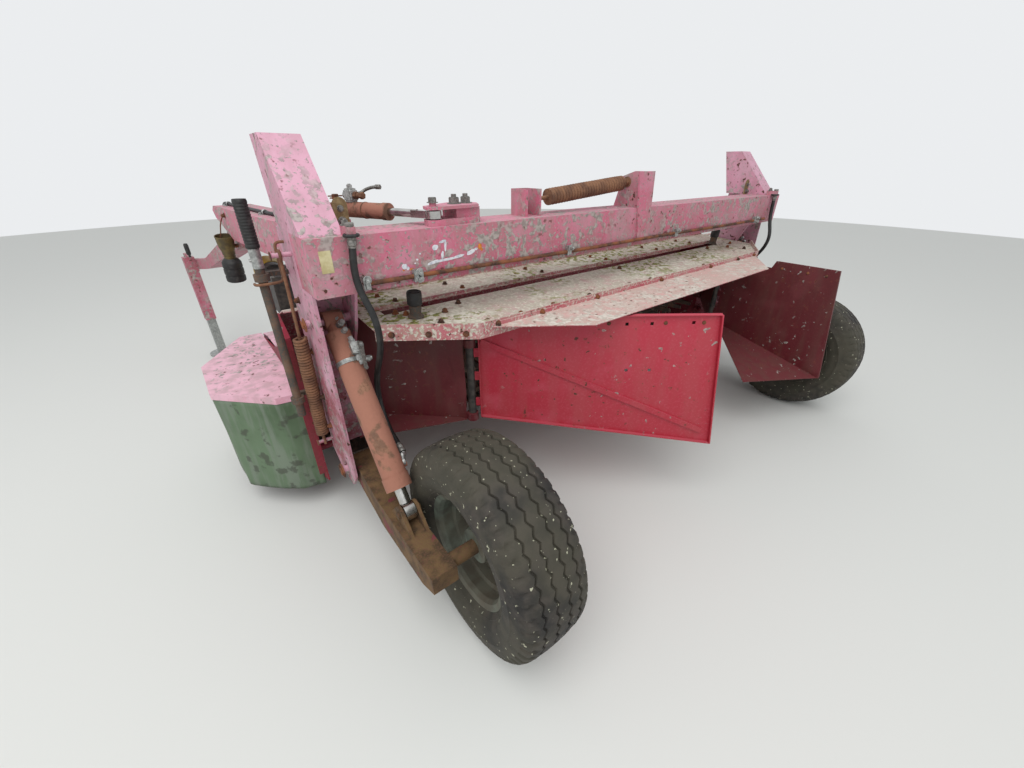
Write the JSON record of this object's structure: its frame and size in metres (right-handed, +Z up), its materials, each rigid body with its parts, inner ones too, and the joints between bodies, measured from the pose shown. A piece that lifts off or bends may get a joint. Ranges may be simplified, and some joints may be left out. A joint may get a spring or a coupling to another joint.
{
  "type": "mower conditioner",
  "caption": "Trailed disc mower conditioner with a side drawbar, two lift wheels, a tined rotor under its hood, coil springs and canvas guards, in faded red paint.",
  "frame": {"origin": "on the ground below the middle of the whole machine's box, standing on its skids, wheels and jack", "axes": "+X to the machine's right, +Y forward towards the hitch, +Z up"},
  "size_m": [3.952, 4.6312, 1.612],
  "materials": {
    "faded_red_paint": "chalky, scratched, with rust spots and lichen",
    "dark_red_paint": "satin, dusty",
    "bright_red_paint": "satin, dusty, dented",
    "orange_paint": "faded orange paint over rust",
    "grey_green_paint": "matte",
    "rusted_steel": "brown rust",
    "worn_steel": "worn, with light rust",
    "galvanised_steel": "dull zinc",
    "gearbox_iron": "painted grey, oily",
    "rod_chrome": "polished",
    "yellow_plastic": "faded",
    "grey_canvas": "coated canvas, dusty",
    "hose_rubber": "dull",
    "tyre_rubber": "dusty"
  },
  "bodies": {
    "frame": {"cross_beam": "faded_red_paint", "leg_left": "dark_red_paint", "leg_right": "dark_red_paint", "beam_fittings": "faded_red_paint", "beam_spring": "rusted_steel", "float_springs": "rusted_steel", "pivot_bracket": "faded_red_paint", "prop_pole": "worn_steel", "end_plates": "dark_red_paint", "header_links": "faded_red_paint", "front_beam": "dark_red_paint", "hood": "faded_red_paint", "deck": "faded_red_paint", "wing_panels": "bright_red_paint", "rear_flap": "faded_red_paint", "cutter_bar": "worn_steel", "gearbox": "gearbox_iron", "shaft_guard": "yellow_plastic", "side_guards": "faded_red_paint", "side_curtains": "grey_canvas", "hose_left": "hose_rubber", "hose_right": "hose_rubber"},
    "arm_left_body": {"arm_left": "rusted_steel"},
    "arm_right_body": {"arm_right": "rusted_steel"},
    "wheel_left": {"rim_left": "grey_green_paint", "tyre_left": "tyre_rubber"},
    "wheel_right": {"rim_right": "grey_green_paint", "tyre_right": "tyre_rubber"},
    "lift_barrel_left_body": {"lift_barrel_left": "orange_paint"},
    "lift_barrel_right_body": {"lift_barrel_right": "orange_paint"},
    "lift_rod_left_body": {"lift_rod_left": "rod_chrome"},
    "lift_rod_right_body": {"lift_rod_right": "rod_chrome"},
    "rotor_body": {"rotor": "worn_steel"},
    "front_guard_body": {"front_guard": "faded_red_paint", "front_curtain": "grey_canvas"},
    "swath_board_left_body": {"swath_board_left": "bright_red_paint"},
    "swath_board_right_body": {"swath_board_right": "bright_red_paint"},
    "drawbar_body": {"drawbar": "faded_red_paint", "hitch_eye": "worn_steel", "jack_sleeve": "faded_red_paint", "drive_shaft": "yellow_plastic", "hose_drawbar": "hose_rubber"},
    "jack_leg_body": {"jack_leg": "galvanised_steel"},
    "swing_barrel_body": {"swing_barrel": "orange_paint"},
    "swing_rod_body": {"swing_rod": "rod_chrome"},
    "disc_1_body": {"disc_1": "worn_steel"},
    "disc_2_body": {"disc_2": "worn_steel"},
    "disc_3_body": {"disc_3": "worn_steel"},
    "disc_4_body": {"disc_4": "worn_steel"},
    "disc_5_body": {"disc_5": "worn_steel"},
    "disc_6_body": {"disc_6": "worn_steel"},
    "disc_7_body": {"disc_7": "worn_steel"}
  },
  "joints": [
    {"name": "lift_left", "type": "hinge", "parent": "frame", "child": "arm_left_body", "pos_m": [-1.525, -1.28763, 0.4], "axis": [1, 0, 0], "range_deg": [-3, 30]},
    {"name": "wheel_turn_left", "type": "hinge", "parent": "arm_left_body", "child": "wheel_left", "pos_m": [-1.338, -1.93563, 0.38], "axis": [1, 0, 0], "continuous": true},
    {"name": "lift_cylinder_tilt_left", "type": "hinge", "parent": "frame", "child": "lift_barrel_left_body", "pos_m": [-1.523, -1.25463, 1.032], "axis": [1, 0, 0], "range_deg": [-1.2, 10.4]},
    {"name": "lift_cylinder_stroke_left", "type": "slide", "parent": "lift_barrel_left_body", "child": "lift_rod_left_body", "axis": [0, -0.6275, -0.7786], "range_m": [-0.018, 0.176]},
    {"name": "lift_right", "type": "hinge", "parent": "frame", "child": "arm_right_body", "pos_m": [1.525, -1.28763, 0.4], "axis": [1, 0, 0], "range_deg": [-3, 30]},
    {"name": "wheel_turn_right", "type": "hinge", "parent": "arm_right_body", "child": "wheel_right", "pos_m": [1.338, -1.93563, 0.38], "axis": [1, 0, 0], "continuous": true},
    {"name": "lift_cylinder_tilt_right", "type": "hinge", "parent": "frame", "child": "lift_barrel_right_body", "pos_m": [1.523, -1.25463, 1.032], "axis": [1, 0, 0], "range_deg": [-1.2, 10.4]},
    {"name": "lift_cylinder_stroke_right", "type": "slide", "parent": "lift_barrel_right_body", "child": "lift_rod_right_body", "axis": [0, -0.6275, -0.7786], "range_m": [-0.018, 0.176]},
    {"name": "drawbar_swing", "type": "hinge", "parent": "frame", "child": "drawbar_body", "pos_m": [-1.45, -1.08763, 1.259], "axis": [0, 0, 1], "range_deg": [-28, 10]},
    {"name": "swing_cylinder_turn", "type": "hinge", "parent": "drawbar_body", "child": "swing_barrel_body", "pos_m": [-1.34968, -0.98763, 1.376], "axis": [0, 0, 1], "range_deg": [-9.4, 26.2]},
    {"name": "swing_cylinder_stroke", "type": "slide", "parent": "swing_barrel_body", "child": "swing_rod_body", "axis": [0.4075, -0.9132, 0], "range_m": [-0.068, 0.0245]},
    {"name": "jack_extend", "type": "slide", "parent": "drawbar_body", "child": "jack_leg_body", "axis": [0, 0, 1], "range_m": [-0.03, 0.3]},
    {"name": "rotor_turn", "type": "hinge", "parent": "frame", "child": "rotor_body", "pos_m": [0, -0.89763, 0.52], "axis": [1, 0, 0], "continuous": true},
    {"name": "disc_turn_1", "type": "hinge", "parent": "frame", "child": "disc_1_body", "pos_m": [-1.359, -0.43763, 0.1], "axis": [0, 0, 1], "continuous": true},
    {"name": "disc_turn_2", "type": "hinge", "parent": "frame", "child": "disc_2_body", "pos_m": [-0.906, -0.43763, 0.1], "axis": [0, 0, 1], "continuous": true},
    {"name": "disc_turn_3", "type": "hinge", "parent": "frame", "child": "disc_3_body", "pos_m": [-0.453, -0.43763, 0.1], "axis": [0, 0, 1], "continuous": true},
    {"name": "disc_turn_4", "type": "hinge", "parent": "frame", "child": "disc_4_body", "pos_m": [0, -0.43763, 0.1], "axis": [0, 0, 1], "continuous": true},
    {"name": "disc_turn_5", "type": "hinge", "parent": "frame", "child": "disc_5_body", "pos_m": [0.453, -0.43763, 0.1], "axis": [0, 0, 1], "continuous": true},
    {"name": "disc_turn_6", "type": "hinge", "parent": "frame", "child": "disc_6_body", "pos_m": [0.906, -0.43763, 0.1], "axis": [0, 0, 1], "continuous": true},
    {"name": "disc_turn_7", "type": "hinge", "parent": "frame", "child": "disc_7_body", "pos_m": [1.359, -0.43763, 0.1], "axis": [0, 0, 1], "continuous": true},
    {"name": "front_guard_lift", "type": "hinge", "parent": "frame", "child": "front_guard_body", "pos_m": [0, -0.48363, 0.7], "axis": [1, 0, 0], "range_deg": [0, 50]},
    {"name": "swath_board_left_turn", "type": "hinge", "parent": "frame", "child": "swath_board_left_body", "pos_m": [-1.052, -1.42563, 0.725], "axis": [0, 0, 1], "range_deg": [-53, 0]},
    {"name": "swath_board_right_turn", "type": "hinge", "parent": "frame", "child": "swath_board_right_body", "pos_m": [1.052, -1.42563, 0.725], "axis": [0, 0, 1], "range_deg": [-53, 2]}
  ],
  "couplings": [
    {"joint": "lift_cylinder_tilt_left", "follows": "lift_left", "ratio": 0.34055},
    {"joint": "lift_cylinder_stroke_left", "follows": "lift_left", "m_per_rad": 0.33267},
    {"joint": "lift_cylinder_tilt_right", "follows": "lift_right", "ratio": 0.34055},
    {"joint": "lift_cylinder_stroke_right", "follows": "lift_right", "m_per_rad": 0.33267},
    {"joint": "swing_cylinder_turn", "follows": "drawbar_swing", "ratio": -0.9319},
    {"joint": "swing_cylinder_stroke", "follows": "drawbar_swing", "m_per_rad": 0.13656},
    {"joint": "disc_turn_2", "follows": "disc_turn_1", "ratio": -1},
    {"joint": "disc_turn_3", "follows": "disc_turn_1", "ratio": 1},
    {"joint": "disc_turn_4", "follows": "disc_turn_1", "ratio": -1},
    {"joint": "disc_turn_5", "follows": "disc_turn_1", "ratio": 1},
    {"joint": "disc_turn_6", "follows": "disc_turn_1", "ratio": -1},
    {"joint": "disc_turn_7", "follows": "disc_turn_1", "ratio": 1}
  ]
}
